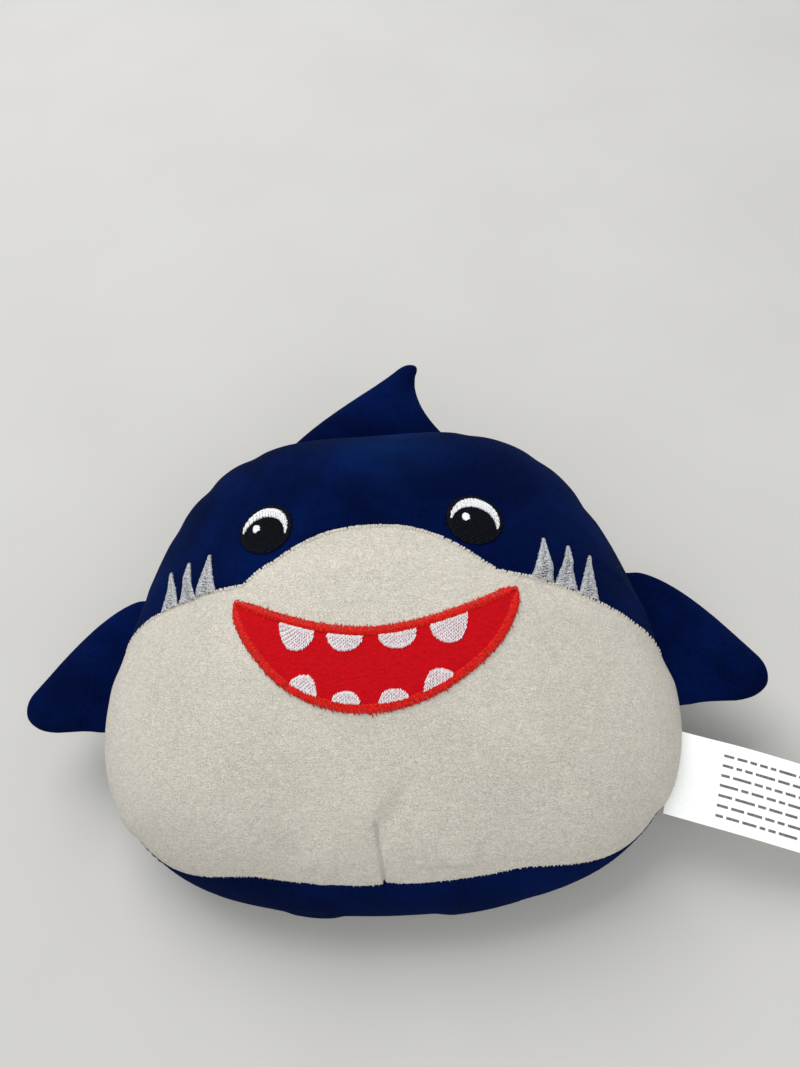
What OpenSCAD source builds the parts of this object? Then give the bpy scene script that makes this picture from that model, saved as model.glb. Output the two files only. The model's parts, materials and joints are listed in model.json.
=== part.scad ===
// Stuffed plush shark, lying on its back with the face up.
// +Z is up, +Y points to the top of the head, +X to the right of the face as it is looked at.
// The origin is the middle of the flat patch on which the soft back rests.

/* [Body] */
// Widest part of the stuffed body, cheek to cheek
body_width = 230; // [210:1:250]
// Height of the face above the plane of the perimeter seam
front_swell = 56; // [50:1:60]
// Depth of the back below the plane of the perimeter seam
back_swell = 46; // [44:1:52]
// Distance from the resting patch to the seam plane at the body's middle
seam_height = 42; // [41:1:43]
// Distance from the resting patch to the body's middle, towards the head
body_offset = 34; // [28:1:40]
// Angle by which the head end lies higher than the bottom end
recline = 12; // [8:0.5:14]
// Shift of the top of the face towards the head
face_lean = 18; // [10:1:22]

/* [Fabric] */
// Thickness of the velour
velour = 1.4; // [1:0.1:2]
// Clear gap between neighbouring pieces
gap = 0.3; // [0.2:0.05:0.4]
// Thickness of the embroidery above the velour
embroidery = 0.8; // [0.5:0.1:1.2]
// Diameter of the sewing thread
thread = 0.7; // [0.5:0.1:1]

/* [Face] */
// Height of the grey snout above the cheek line
snout_rise = 18.2; // [12:0.1:22]
// Half of the width of the snout arch
snout_half = 47; // [42:1:50]
// Half of the width of the mouth between its corners
mouth_half = 51.5; // [46:0.5:54]
// Height of the mouth at its middle
mouth_drop = 28.5; // [22:0.5:32]
// Width of the satin-stitched mouth border
border_width = 3.4; // [2.4:0.1:4]
// Radius of an eye
eye_radius = 10.2; // [8:0.1:11]
// Distance of an eye's middle from the centre line
eye_x = 39.4; // [36:0.1:42]
// Height of an eye's middle above the body's middle
eye_y = 20.1; // [19:0.1:22]

/* [Fins and label] */
// Greatest thickness of a fin
fin_thickness = 14; // [10:0.5:16]
// Width of the care label's ribbon
label_width = 32; // [28:1:34]
// Length of the folded care label outside the seam
label_length = 73; // [50:1:76]
// Thickness of the folded care label
label_thickness = 1; // [0.8:0.1:1.4]

/* [Hidden] */
TEETH = 4;
GILLS = 3;

NAVY = [0.02, 0.12, 0.36];
GREY = [0.78, 0.75, 0.70];
RED = [0.80, 0.04, 0.07];
STITCH_RED = [0.90, 0.16, 0.08];
WHITE = [0.95, 0.95, 0.93];
BLACK = [0.05, 0.05, 0.06];
SILVER = [0.66, 0.67, 0.68];
FILLING = [0.93, 0.93, 0.90];

size_ratio = body_width / 230;
fill_depth = velour + gap + 1;
lining = 0.5;
backing_gap = 0.45;
junction = -5;
belly_seam_turn = 19.5;

// ---- curves ----
function mix(a, b, f) = a + (b - a) * f;
function smooth(f) = let (c = min(max(f, 0), 1)) c * c * (3 - 2 * c);
function bezier(p, f) = let (g = 1 - f)
    g * g * g * p[0] + 3 * g * g * f * p[1] + 3 * g * f * f * p[2] + f * f * f * p[3];

// ---- the body's surface ----
// Radius of the perimeter seen from the front: low cheeks, narrow forehead
function outline(t) = size_ratio * (106.8 - 10 * sin(t) + 7.7 * cos(2 * t) - 4.7 * sin(3 * t)
    - 4.7 * cos(4 * t) - 2 * sin(5 * t) - 0.7 * cos(6 * t));

// From the seam plane's own coordinates to the resting pose
function lay(p) = [
    p.x,
    body_offset + p.y * cos(recline) - p.z * sin(recline),
    seam_height + p.y * sin(recline) + p.z * cos(recline)
];

// Point of the body at bearing t and turn a (0 at the widest line, 90 at the face, -90 at the
// back), with offset d outwards; the back is flat where it rests
function body_point(t, a, d) = let (
    r = (outline(t) + d) * cos(a),
    swell = (a > 0 ? front_swell : back_swell) + d,
    lean = a > 0 ? face_lean * sin(a) : 0,
    q = lay([r * cos(t), r * sin(t) + lean, swell * sin(a)])
) [q.x, q.y, max(q.z, -d)];

// Point of the face above the flat pattern point p
function face_point(p, d) = let (
    t = atan2(p.y, p.x),
    rho = min(norm(p) / outline(t), 1)
) body_point(t, acos(rho), d);

// Turn at which the perimeter seam runs: on the widest line, and drawn forward at the bottom
function low_share(t) = let (f = abs(((t + 90 + 540) % 360) - 180)) smooth((54 - f) / 28);
function seam_turn(t) = belly_seam_turn * low_share(t);

// Flat pattern point of the perimeter seam, drawn in by the clear gap
function seam_plan(t) = outline(t) * cos(seam_turn(t) + 0.4) * [cos(t), sin(t)];

// Seam between the navy forehead and the grey snout and belly
function snout_line(x) = let (
    rise = snout_rise * (1 - pow(min(abs(x) / snout_half, 1), 2.2)),
    fall = 0.0021 * pow(max(abs(x) - 50, 0), 2)
) rise - fall - 1;

// ---- solids made from a grid of points ----
function flat_list(g) = [for (row = g) each row];
function skin_faces(rows, cols, base, flip) = [
    for (i = [0 : rows - 2], j = [0 : cols - 2]) let (
        a = base + i * cols + j, b = a + 1, c = a + cols, d = c + 1,
        halves = j < cols / 2 ? [[a, b, d], [a, d, c]] : [[a, b, c], [b, d, c]]
    ) each [for (h = halves) flip ? [h[0], h[2], h[1]] : h]
];
function rim_index(rows, cols) = concat(
    [for (j = [0 : cols - 1]) j],
    [for (i = [1 : rows - 1]) i * cols + cols - 1],
    [for (j = [cols - 2 : -1 : 0]) (rows - 1) * cols + j],
    [for (i = [rows - 2 : -1 : 1]) i * cols]
);
// Closed shell between an outer and an inner grid of rows and columns
module shell(outer, inner) {
    rows = len(outer);
    cols = len(outer[0]);
    rim = rim_index(rows, cols);
    n = rows * cols;
    walls = [for (k = [0 : len(rim) - 1]) let (
        a = rim[k], b = rim[(k + 1) % len(rim)]
    ) each [[a, a + n, b], [b, a + n, b + n]]];
    polyhedron(concat(flat_list(outer), flat_list(inner)),
        concat(skin_faces(rows, cols, 0, false), skin_faces(rows, cols, n, true), walls));
}

// Patch on the face between two curves of flat pattern points, from depth low to height high
function face_grid(a, b, steps, d, crowd) = [for (j = [0 : steps]) let (
    f = crowd ? sin(90 * j / steps) : j / steps
) [for (i = [0 : len(a) - 1]) face_point(mix(a[i], b[i], f), d)]];
module face_patch(a, b, steps, low, high, crowd = false) {
    shell(face_grid(a, b, steps, low, crowd), face_grid(a, b, steps, high, crowd));
}

// Thread laid along a list of points
module laid_thread(path) {
    sides = 6;
    n = len(path);
    ring = [for (i = [0 : n - 1]) let (
        u = path[min(i + 1, n - 1)] - path[max(i - 1, 0)],
        v = cross(u, [0, 0, 1]) / norm(cross(u, [0, 0, 1])),
        w = cross(v, u) / norm(u)
    ) for (s = [0 : sides - 1]) path[i] + thread / 2 * (cos(60 * s) * v + sin(60 * s) * w)];
    walls = [for (i = [0 : n - 2], s = [0 : sides - 1]) let (
        a = i * sides + s, b = i * sides + (s + 1) % sides
    ) each [[a, a + sides, b], [b, a + sides, b + sides]]];
    ends = [[for (s = [0 : sides - 1]) s], [for (s = [sides - 1 : -1 : 0]) (n - 1) * sides + s]];
    polyhedron(ring, concat(walls, ends));
}

// ---- velour panels and filling ----
panel_columns = 40;
function side_share(i) = i / panel_columns;
function snout_point(i, shift) = let (
    end = outline(junction) * cos(junction) - 1.5,
    x = mix(-end, end, side_share(i))
) [x, snout_line(x) + shift];

module forehead_panel() {
    low = [for (i = [0 : panel_columns]) snout_point(i, gap / 2)];
    high = [for (i = [0 : panel_columns]) seam_plan(mix(180 - junction, junction, side_share(i)))];
    color(NAVY) face_patch(low, high, 9, -velour, 0, true);
}

module belly_panel() {
    low = [for (i = [0 : panel_columns])
        seam_plan(mix(-180 - junction - 0.6, junction - 0.6, side_share(i)))];
    high = [for (i = [0 : panel_columns]) snout_point(i, -gap / 2)];
    color(GREY) face_patch(high, low, 11, 0, -velour, true);
}

// Back in one piece: rows between the upper and the lower half of the perimeter
back_columns = 30;
back_rows = 18;
function back_grid(d) = [for (j = [0 : back_rows]) [for (i = [0 : back_columns]) let (
    phi = mix(177, 3, i / back_columns),
    q = [cos(phi), sin(phi) * mix(1, -1, j / back_rows)],
    t = atan2(q.y, q.x),
    a = norm(q) * (90 + seam_turn(t) - 0.3) - 90
) body_point(t, a, d)]];
module back_panel() {
    color(NAVY) shell(back_grid(-velour), back_grid(0));
}

// Stuffing: rings of points between the two poles of the body
module body_fill() {
    around = 32;
    bands = 14;
    rings = [for (k = [1 : bands - 1], i = [0 : around - 1])
        body_point(360 * i / around, mix(-90, 90, k / bands), -fill_depth)];
    top = len(rings);
    bottom = top + 1;
    last = (bands - 2) * around;
    sides = [for (k = [0 : bands - 3], i = [0 : around - 1]) let (
        a = k * around + i, b = k * around + (i + 1) % around
    ) each [[a, a + around, b], [b, a + around, b + around]]];
    caps = [for (i = [0 : around - 1]) let (e = (i + 1) % around)
        each [[i, e, bottom], [last + e, last + i, top]]];
    color(FILLING) polyhedron(
        concat(rings, [body_point(0, 90, -fill_depth), body_point(0, -90, -fill_depth)]),
        concat(sides, caps));
}

// ---- sewing threads ----
thread_lift = thread / 2 + 0.1;
module snout_seam_thread() {
    color(NAVY) laid_thread([for (x = [-98 : 4 : 98]) face_point([x, snout_line(x)], thread_lift)]);
}
module belly_seam_thread() {
    color(NAVY) laid_thread([for (t = [-132 : 3 : -48]) body_point(t, seam_turn(t), thread_lift)]);
}
module belly_dart_thread() {
    color(GREY) laid_thread([for (y = [-94 : 3 : -70]) face_point([-2, y], thread_lift)]);
}
module side_closing_thread() {
    color(NAVY) laid_thread([for (t = [200 : 3 : 224]) body_point(t, seam_turn(t), thread_lift)]);
}

// ---- mouth ----
function mouth_x(i, n, inset) = (mouth_half - inset) * -cos(180 * i / n);
function mouth_top(x, inset) = -20.7 + 13.7 * pow(abs(x) / mouth_half, 1.9) - inset;
function mouth_bottom(x, inset) = let (
    f = min(abs(x) / (mouth_half + 0.6), 1),
    height = mouth_drop + 12.7 - inset
) 20.7 - mouth_drop - height * pow(1 - f * f, 0.6);
function lip_low(x, inset) = min(mouth_bottom(x, inset), mouth_top(x, inset) - 0.6);

mouth_steps = 28;
border_base = 0.7;
module mouth_patch() {
    inset = border_width / 2;
    high = [for (i = [0 : mouth_steps]) let (x = mouth_x(i, mouth_steps, inset))
        [x, mouth_top(x, inset + gap / 2 + 0.1)]];
    low = [for (i = [0 : mouth_steps]) let (x = mouth_x(i, mouth_steps, inset))
        [x, lip_low(x, inset + gap / 2 + 0.1)]];
    color(RED) face_patch(high, low, 5, 0.45, 0.15);
}

// Points round the mouth, clockwise from its left corner
function mouth_loop(inset) = concat(
    [for (i = [0 : mouth_steps]) let (x = mouth_x(i, mouth_steps, inset)) [x, mouth_top(x, inset)]],
    [for (i = [mouth_steps : -1 : 0]) let (x = mouth_x(i, mouth_steps, inset))
        [x, lip_low(x, inset)]]
);
module mouth_border() {
    outer = mouth_loop(0);
    inner = mouth_loop(border_width);
    n = len(outer);
    points = concat(
        [for (p = outer) face_point(p, border_base)],
        [for (p = inner) face_point(p, border_base)],
        [for (p = inner) face_point(p, border_base + embroidery)],
        [for (p = outer) face_point(p, border_base + embroidery)]);
    faces = [for (r = [0 : 3], i = [0 : n - 1]) let (
        a = r * n + i, b = r * n + (i + 1) % n,
        c = ((r + 1) % 4) * n + i, d = ((r + 1) % 4) * n + (i + 1) % n
    ) each [[a, b, c], [b, d, c]]];
    color(STITCH_RED) polyhedron(points, faces);
}

// Teeth: half ellipses that stand on the border's inner edge
upper_teeth = [-27.6, -9.5, 9.5, 27.6];
lower_teeth = [-24.3, -8.5, 8.5, 24.3];
upper_tip = [-27.6, -28.9, -28.9, -27.6];
lower_tip = [-35.8, -41.7, -41.7, -35.8];
module tooth(x, half, root_inset, tip, upper) {
    n = 12;
    xs = [for (i = [0 : n]) x - half * cos(180 * i / n)];
    root = [for (q = xs) [q, upper ? mouth_top(q, root_inset) : lip_low(q, root_inset)]];
    edge = [for (i = [0 : n]) let (
        rise = 0.06 + 0.94 * sin(180 * i / n)
    ) [xs[i], mix(root[i].y, tip, rise)]];
    color(WHITE)
        if (upper) face_patch(root, edge, 3, border_base + embroidery, border_base);
        else face_patch(edge, root, 3, border_base + embroidery, border_base);
}
module upper_tooth(k) tooth(upper_teeth[k], 6.7, border_width + gap, upper_tip[k], true);
module lower_tooth(k) tooth(lower_teeth[k], 5.2, border_width + gap, lower_tip[k], false);

// ---- eyes ----
eye_steps = 20;
module disc(centre, rx, ry, low, high, points = 14) {
    top = [for (i = [0 : points]) let (t = 176 - 172 * i / points)
        centre + [rx * cos(t), ry * sin(t)]];
    bottom = [for (p = top) [p.x, 2 * centre.y - p.y]];
    face_patch(top, bottom, max(round(points / 3), 2), high, low);
}
module eye_black(side) {
    color(BLACK) disc([side * eye_x, eye_y], eye_radius, eye_radius, 0.2, 0.7);
}
module eye_white(side) {
    reach = eye_radius - 0.9;
    outer = [for (i = [0 : eye_steps]) let (t = 178 - 200 * i / eye_steps)
        [side * eye_x, eye_y] + reach * [cos(t), sin(t)]];
    inner = [for (i = [0 : eye_steps]) let (
        t = 178 - 200 * i / eye_steps,
        r = reach - 0.9 - 3.1 * sin(180 * i / eye_steps)
    ) [side * eye_x, eye_y] + r * [cos(t), sin(t)]];
    color(WHITE) face_patch(outer, inner, 2, 0.8 + embroidery / 2, 0.8);
}
module eye_glint(side) {
    color(WHITE) disc([side * eye_x - 3.4, eye_y + 0.6], 1.9, 1.7, 0.8, 0.8 + embroidery / 2, 8);
}
module eye_backing(side) {
    color(WHITE) disc([side * eye_x, eye_y], eye_radius + 3, eye_radius + 3,
        -velour - backing_gap - lining, -velour - backing_gap);
}
module mouth_backing() {
    high = [for (i = [1 : mouth_steps - 1]) let (x = mouth_x(i, mouth_steps, 0))
        [x, mouth_top(x, -3)]];
    low = [for (i = [1 : mouth_steps - 1]) let (x = mouth_x(i, mouth_steps, 0))
        [x, lip_low(x, -3)]];
    color(WHITE) face_patch(high, low, 4, -velour - backing_gap, -velour - backing_gap - lining);
}

// ---- gills: spikes that stand on the snout seam ----
gill_tip = [[64.5, 14.8], [73.8, 14.9], [82.5, 14.6]];
gill_inner = [58.9, 68.4, 77.3];
gill_outer = [67.6, 76.3, 84.2];
module gill(side, k) {
    n = 5;
    foot = 0.4;
    inner = [gill_inner[k], snout_line(gill_inner[k]) + foot];
    outer = [gill_outer[k], snout_line(gill_outer[k]) + foot];
    left = [for (i = [0 : n]) mix(inner, gill_tip[k] - [0.3, 0], i / n)];
    right = [for (i = [0 : n]) mix(outer, gill_tip[k] + [0.3, 0], i / n)];
    color(SILVER)
        if (side > 0) face_patch(left, right, 3, 0.9 + embroidery, 0.9);
        else mirror([1, 0, 0]) face_patch(left, right, 3, 0.9 + embroidery, 0.9);
}

// ---- fins ----
// Leading and trailing edges in the seam plane, from the root to the tip
side_lead = [[103.6, 27.5], [118, 27.5], [146, 0], [154.3, -17]];
side_trail = [[117.2, -30.5], [129, -23.5], [151, -37], [154.3, -17]];
top_lead = [[-52, 84], [-36, 106], [-2, 127], [17.5, 138]];
top_trail = [[41, 86.5], [16, 108], [17, 126], [17.5, 138]];
fin_rows = 12;
fin_cols = 10;
root_clear = 2.5;

// The root row follows the perimeter just outside it; the others run between the edges
function fin_plan(lead, trail, f, w) = let (
    s = 0.965 * f,
    p = mix(bezier(lead, s), bezier(trail, s), w),
    t = atan2(p.y, p.x),
    r = outline(t) + root_clear,
    push = f == 0 ? r - norm(p) : max(r - norm(p), 0)
) p + push * [cos(t), sin(t)];
function fin_half(f, w) = fin_thickness / 2 * (0.24 + 0.76 * smooth(f / 0.35)) * (1 - 0.75 * f * f)
    * pow(max(1 - pow(2 * w - 1, 2), 0), 0.5);
function fin_grid(lead, trail, face, d) = [for (i = [0 : fin_rows]) [for (j = [0 : fin_cols]) let (
    f = i / fin_rows,
    w = (1 - cos(180 * j / fin_cols)) / 2,
    p = fin_plan(lead, trail, f, w),
    thick = max(fin_half(f, w) - d, 0.1)
) lay([p.x, p.y, face * thick])]];
module fin_skin(lead, trail, face) {
    outer = fin_grid(lead, trail, face, -0.1);
    inner = fin_grid(lead, trail, face, velour - 0.5);
    color(NAVY)
        if (face > 0) shell(inner, outer);
        else shell(outer, inner);
}
function inset_fill(lead, trail, face) = [for (i = [0 : fin_rows]) [for (j = [0 : fin_cols]) let (
    f = mix(0.02, 0.93, i / fin_rows),
    w = mix(0.1, 0.9, (1 - cos(180 * j / fin_cols)) / 2),
    p = fin_plan(lead, trail, f, w),
    thick = max(fin_half(f, w) - velour, 0.05)
) lay([p.x, p.y, face * thick])]];
module fin_fill(lead, trail) {
    color(FILLING) shell(inset_fill(lead, trail, -1), inset_fill(lead, trail, 1));
}

// ---- care label: a ribbon folded in two, held in the right side of the perimeter seam ----
label_bearing = -26;
label_turn = 8;
module care_label() {
    r = outline(label_bearing);
    root = [(r + root_clear) * cos(label_bearing), (r + root_clear) * sin(label_bearing), 0];
    color(WHITE) translate(lay(root)) rotate([recline, 0, 0]) rotate([0, 0, label_bearing + label_turn])
        translate([0.6, -label_width / 2, -label_thickness / 2])
            cube([label_length, label_width, label_thickness]);
}

forehead_panel();
belly_panel();
back_panel();
body_fill();
snout_seam_thread();
belly_seam_thread();
belly_dart_thread();
side_closing_thread();
mouth_backing();
eye_backing(-1);  // left_eye_backing
eye_backing(1);  // right_eye_backing
mouth_patch();
mouth_border();
for (k = [0 : TEETH - 1]) {
    upper_tooth(k);
    lower_tooth(k);
}
eye_black(-1);  // left_eye_black
eye_white(-1);  // left_eye_white
eye_glint(-1);  // left_eye_glint
eye_black(1);  // right_eye_black
eye_white(1);  // right_eye_white
eye_glint(1);  // right_eye_glint
for (k = [0 : GILLS - 1]) {
    gill(-1, k);
    gill(1, k);
}
fin_skin(top_lead, top_trail, 1);  // dorsal_fin_front
fin_skin(top_lead, top_trail, -1);  // dorsal_fin_back
fin_fill(top_lead, top_trail);  // dorsal_fin_fill
mirror([1, 0, 0]) fin_skin(side_lead, side_trail, 1);  // left_fin_front
mirror([1, 0, 0]) fin_skin(side_lead, side_trail, -1);  // left_fin_back
mirror([1, 0, 0]) fin_fill(side_lead, side_trail);  // left_fin_fill
fin_skin(side_lead, side_trail, 1);  // right_fin_front
fin_skin(side_lead, side_trail, -1);  // right_fin_back
fin_fill(side_lead, side_trail);  // right_fin_fill
care_label();
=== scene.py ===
"""Looks of the plush shark: velour panels, embroidery, fins and care label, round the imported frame."""
import json
import math

import bpy
import numpy as np
from mathutils import Euler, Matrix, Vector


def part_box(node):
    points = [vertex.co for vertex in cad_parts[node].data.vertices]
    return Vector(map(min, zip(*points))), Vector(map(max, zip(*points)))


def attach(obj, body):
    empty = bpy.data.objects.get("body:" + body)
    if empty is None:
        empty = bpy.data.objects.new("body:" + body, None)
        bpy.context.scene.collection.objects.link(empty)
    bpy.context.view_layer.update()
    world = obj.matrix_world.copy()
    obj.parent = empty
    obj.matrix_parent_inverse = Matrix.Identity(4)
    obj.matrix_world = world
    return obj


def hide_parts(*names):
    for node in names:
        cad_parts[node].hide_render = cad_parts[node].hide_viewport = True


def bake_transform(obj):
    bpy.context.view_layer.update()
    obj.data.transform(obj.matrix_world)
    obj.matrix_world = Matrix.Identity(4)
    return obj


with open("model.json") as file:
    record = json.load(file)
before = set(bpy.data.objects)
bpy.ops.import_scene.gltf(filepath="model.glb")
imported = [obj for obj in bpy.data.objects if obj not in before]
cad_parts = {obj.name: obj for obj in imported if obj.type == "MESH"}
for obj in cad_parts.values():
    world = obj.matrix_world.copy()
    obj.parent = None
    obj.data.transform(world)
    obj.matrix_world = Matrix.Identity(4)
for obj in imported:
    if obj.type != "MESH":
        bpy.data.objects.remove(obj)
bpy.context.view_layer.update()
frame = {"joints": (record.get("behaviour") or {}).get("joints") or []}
MM = 0.001

# ---- sizes in millimetres, the same as the design's own ----
SNOUT_RISE = 18.2
SNOUT_HALF = 47.0
MOUTH_HALF = 51.5
MOUTH_DROP = 28.5
BORDER_WIDTH = 3.4
BORDER_PITCH = 0.36
CORNER = 0.6
EYE_RADIUS = 10.2
FRONT_SWELL = 56.0
BACK_SWELL = 46.0
FACE_LEAN = 18.0
BELLY_SEAM_TURN = math.radians(17.8)
VELOUR = 1.4
FIN_THICKNESS = 14.0
TIP_RADIUS = 4.6
LABEL_WIDTH = 32.0
LABEL_LENGTH = 73.0
LABEL_HELD = 5.0
LABEL_HALF_GAP = 0.35


# ---- the seam plane, from the frame's joints and boxes ----
def joint(name):
    return next(j for j in frame["joints"] if j["name"] == name)


def box_mm(node):
    low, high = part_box(node)
    return np.array(low) / MM, np.array(high) / MM


FIN_AXIS = np.array(joint("right_fin_flap")["axis"], float)
RECLINE = math.atan2(abs(FIN_AXIS[2]), abs(FIN_AXIS[1]))
COS_R, SIN_R = math.cos(RECLINE), math.sin(RECLINE)
FIN_HINGE = np.array(joint("right_fin_flap")["pos_m"], float) / MM
HINGE_PLAN_Y = -1.5
BODY_OFFSET = FIN_HINGE[1] - HINGE_PLAN_Y * COS_R
SEAM_HEIGHT = FIN_HINGE[2] - HINGE_PLAN_Y * SIN_R


# ---- the body's surface ----
def smooth(f):
    c = np.clip(f, 0, 1)
    return c * c * (3 - 2 * c)


def outline(t):
    """Radius of the body's perimeter at bearing t."""
    return (106.8 - 10 * np.sin(t) + 7.7 * np.cos(2 * t) - 4.7 * np.sin(3 * t)
            - 4.7 * np.cos(4 * t) - 2 * np.sin(5 * t) - 0.7 * np.cos(6 * t))


def lay(points):
    """From the seam plane's own coordinates to the resting pose."""
    x, y, z = np.moveaxis(np.asarray(points, float), -1, 0)
    return np.stack([x, BODY_OFFSET + y * COS_R - z * SIN_R, SEAM_HEIGHT + y * SIN_R + z * COS_R], -1)


def on_floor(z, softness=1.2):
    """Heights kept above the floor, with a soft turn where the back begins to rest on it."""
    return softness * np.logaddexp(0, z / softness)


def body_point(t, a, d):
    """Point at bearing t and turn a (a quarter turn is the face), offset d outwards."""
    front = a > 0
    r = (outline(t) + d) * np.cos(a)
    swell = np.where(front, FRONT_SWELL, BACK_SWELL) + d
    lean = np.where(front, FACE_LEAN * np.sin(a), 0.0)
    q = lay(np.stack([r * np.cos(t), r * np.sin(t) + lean, swell * np.sin(a)], -1))
    q[..., 2] = on_floor(q[..., 2])
    return q


def seam_turn(t):
    """Turn of the perimeter seam: on the widest line, and drawn forward under the belly."""
    away = np.abs((np.degrees(t) + 90 + 540) % 360 - 180)
    return BELLY_SEAM_TURN * smooth((54 - away) / 28)


def seam_plan(t):
    return (outline(t) * np.cos(seam_turn(t)))[..., None] * np.stack([np.cos(t), np.sin(t)], -1)


def snout_line(x):
    """Seam between navy forehead and grey snout; it runs a little lower on the right."""
    far = np.abs(x)
    rise = SNOUT_RISE * (1 - np.minimum(far / SNOUT_HALF, 1) ** 2.2)
    askew = -4.2 * np.sign(x) * smooth((far - 45) / 60)
    return rise - 0.0021 * np.maximum(far - 50, 0) ** 2 - 1 + askew


# ---- relief of the stuffed skin, kept on a cube of directions ----
CELLS = 44
SKIN_RELIEF = 0.9
CUBE_ANGLE = math.pi / 4


def cube_directions():
    tangent = np.tan(np.linspace(-CUBE_ANGLE, CUBE_ANGLE, CELLS + 1))
    b, c = np.meshgrid(tangent, tangent, indexing="ij")
    sides = []
    for axis in range(3):
        for sign in (1, -1):
            d = np.zeros((CELLS + 1, CELLS + 1, 3))
            d[..., axis] = sign
            d[..., (axis + 1) % 3] = b
            d[..., (axis + 2) % 3] = c
            sides.append(d / np.linalg.norm(d, axis=-1, keepdims=True))
    return np.stack(sides)


def cube_quads(index):
    quads = []
    for k in range(6):
        g = index[k]
        a, b, c, d = g[:-1, :-1], g[1:, :-1], g[1:, 1:], g[:-1, 1:]
        loop = (a, b, c, d) if k % 2 == 0 else (a, d, c, b)
        quads.append(np.stack(loop, -1).reshape(-1, 4))
    return np.concatenate(quads)


def cube_points():
    """Bearing, turn and direction of each point of the cube once, and where each cell finds its own."""
    sides = cube_directions()
    keys = np.round(sides.reshape(-1, 3) * 1e5).astype(int)
    _, first, inverse = np.unique(keys, axis=0, return_index=True, return_inverse=True)
    d = sides.reshape(-1, 3)[first]
    t = np.arctan2(d[:, 1], d[:, 0])
    a = np.arcsin(np.clip(d[:, 2], -1, 1))
    return t, a, d, inverse.reshape(6, CELLS + 1, CELLS + 1)


def cubic_weights(f):
    return np.stack([-0.5 * f + f ** 2 - 0.5 * f ** 3, 1 - 2.5 * f ** 2 + 1.5 * f ** 3,
                     0.5 * f + 2 * f ** 2 - 1.5 * f ** 3, -0.5 * f ** 2 + 0.5 * f ** 3], -1)


def sample_cube(values, directions):
    """Smooth lookup of per-direction values at any directions."""
    flat = directions.reshape(-1, 3)
    axis = np.argmax(np.abs(flat), -1)
    rows = np.arange(len(flat))
    lead = flat[rows, axis]
    u = np.arctan(flat[rows, (axis + 1) % 3] / np.abs(lead))
    v = np.arctan(flat[rows, (axis + 2) % 3] / np.abs(lead))
    u, v = [(q / (2 * CUBE_ANGLE) + 0.5) * CELLS for q in (u, v)]
    i = np.clip(np.floor(u).astype(int), 0, CELLS - 1)
    j = np.clip(np.floor(v).astype(int), 0, CELLS - 1)
    side = axis * 2 + (lead < 0)
    wu, wv = cubic_weights(u - i), cubic_weights(v - j)
    out = np.zeros(len(flat))
    for m in range(4):
        for n in range(4):
            im = np.clip(i + m - 1, 0, CELLS)
            jn = np.clip(j + n - 1, 0, CELLS)
            out += wu[:, m] * wv[:, n] * values[side, im, jn]
    return out.reshape(directions.shape[:-1])


def soften(values, edges, times):
    """Each value drawn halfway to the mean of its neighbours, several times."""
    count = np.bincount(edges.ravel(), minlength=len(values))
    for _ in range(times):
        total = np.bincount(edges[:, 0], values[edges[:, 1]], len(values))
        total += np.bincount(edges[:, 1], values[edges[:, 0]], len(values))
        values = 0.5 * values + 0.5 * total / count
    return values


def simulate(name, points, quads, pins, shrink, shrink_max, pressure, frames, bending=0.4):
    """Cloth under air pressure; gives the points after the last frame, in millimetres."""
    mesh = bpy.data.meshes.new(name)
    mesh.from_pydata([tuple(p) for p in points * MM], [], [tuple(int(k) for k in q) for q in quads])
    mesh.update()
    obj = bpy.data.objects.new(name, mesh)
    bpy.context.scene.collection.objects.link(obj)
    for group, weights in (("pin", pins), ("shrink", shrink)):
        layer = obj.vertex_groups.new(name=group)
        for k in np.flatnonzero(weights > 0.001):
            layer.add([int(k)], float(weights[k]), "REPLACE")
    cloth = obj.modifiers.new("cloth", "CLOTH")
    s = cloth.settings
    s.quality = 6
    s.mass = 0.2
    s.tension_stiffness = 18
    s.compression_stiffness = 18
    s.shear_stiffness = 6
    s.bending_stiffness = bending
    s.use_pressure = True
    s.uniform_pressure_force = pressure
    s.vertex_group_mass = "pin"
    s.pin_stiffness = 1
    s.vertex_group_shrink = "shrink"
    s.shrink_min = -0.01
    s.shrink_max = shrink_max
    s.effector_weights.gravity = 0
    cloth.collision_settings.use_collision = False
    cloth.point_cache.frame_end = frames
    for k in range(1, frames + 1):
        bpy.context.scene.frame_set(k)
    done = obj.evaluated_get(bpy.context.evaluated_depsgraph_get())
    after = np.zeros(len(points) * 3)
    done.data.vertices.foreach_get("co", after)
    bpy.data.objects.remove(obj)
    bpy.data.meshes.remove(mesh)
    bpy.context.scene.frame_set(1)
    return after.reshape(-1, 3) / MM


def seam_distance(t, a):
    """Distance in millimetres to the nearest seam of the body."""
    x = outline(t) * np.cos(a) * np.cos(t)
    y = outline(t) * np.cos(a) * np.sin(t)
    slope = (snout_line(x + 0.5) - snout_line(x - 0.5))
    snout = np.where(a > 0, np.abs(y - snout_line(x)) / np.sqrt(1 + slope ** 2), 99)
    return snout, np.abs(a - seam_turn(t)) * 70


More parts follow.
